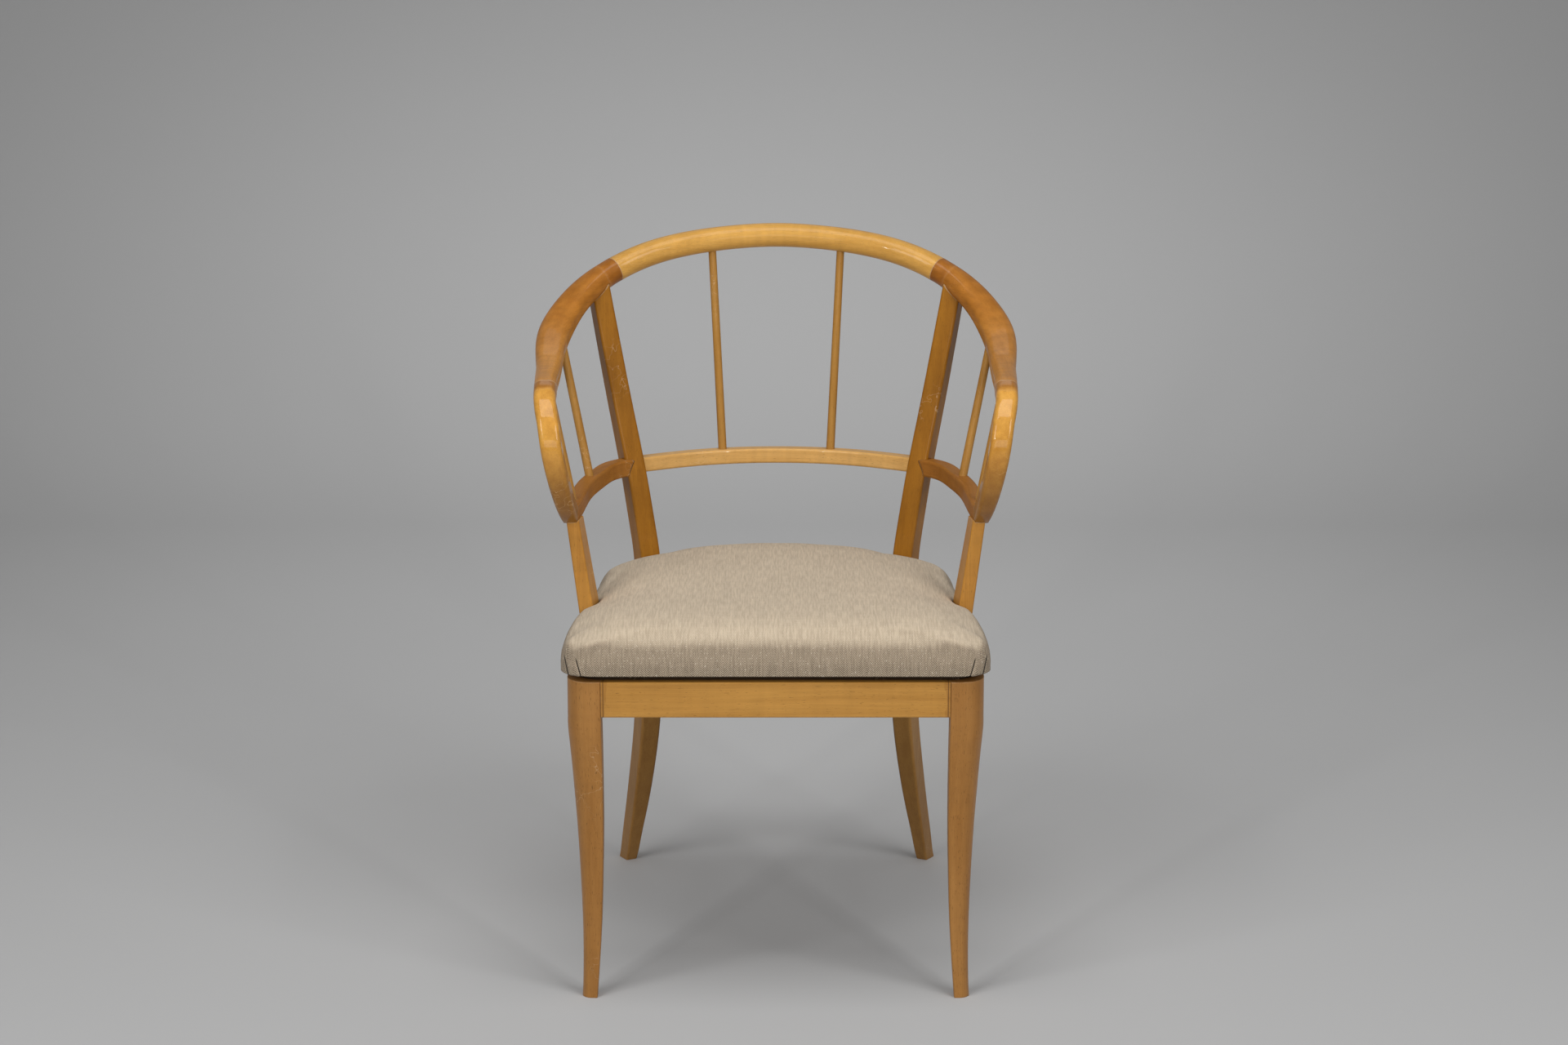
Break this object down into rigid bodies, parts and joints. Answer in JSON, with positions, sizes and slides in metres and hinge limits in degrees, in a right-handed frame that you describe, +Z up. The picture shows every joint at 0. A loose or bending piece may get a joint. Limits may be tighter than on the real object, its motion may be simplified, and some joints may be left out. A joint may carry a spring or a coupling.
{
  "type": "armchair",
  "caption": "Low-backed wooden armchair: one flowing bow for back and arms, spindles over a horseshoe rail, sabre legs and an upholstered seat pad.",
  "frame": {"origin": "on the floor, under the middle of the chair's outline", "axes": "+X to the right seen from the front, +Y towards the back, +Z up"},
  "size_m": [0.5808, 0.5614, 0.8312],
  "materials": {
    "bow_wood": "gloss",
    "frame_wood": "satin",
    "hidden_wood": "matte",
    "padding": "matte",
    "upholstery": "matte",
    "steel": "satin"
  },
  "bodies": {
    "root": {"crest_rail": "bow_wood", "shoulder_left": "bow_wood", "shoulder_right": "bow_wood", "arm_front_left": "bow_wood", "arm_front_right": "bow_wood", "rear_post_left": "frame_wood", "rear_post_right": "frame_wood", "front_leg_left": "frame_wood", "front_leg_right": "frame_wood", "arm_post_left": "frame_wood", "arm_post_right": "frame_wood", "mid_rail_back": "bow_wood", "mid_rail_left": "bow_wood", "mid_rail_right": "bow_wood", "back_spindle_left": "bow_wood", "back_spindle_right": "bow_wood", "side_spindle_left": "bow_wood", "side_spindle_right": "bow_wood", "front_spindle_left": "bow_wood", "front_spindle_right": "bow_wood", "seat_rail_front": "frame_wood", "seat_rail_left": "frame_wood", "seat_rail_right": "frame_wood", "seat_rail_back": "frame_wood", "corner_block_front_left": "hidden_wood", "corner_block_front_right": "hidden_wood", "corner_block_rear_left": "hidden_wood", "corner_block_rear_right": "hidden_wood", "seat_board": "hidden_wood", "seat_foam": "padding", "seat_cover": "upholstery", "seat_screws": "steel", "corner_block_screws": "steel", "arm_post_screws": "steel", "bow_dowels": "hidden_wood", "mid_rail_dowels": "hidden_wood", "seat_rail_dowels": "hidden_wood"}
  },
  "joints": []
}
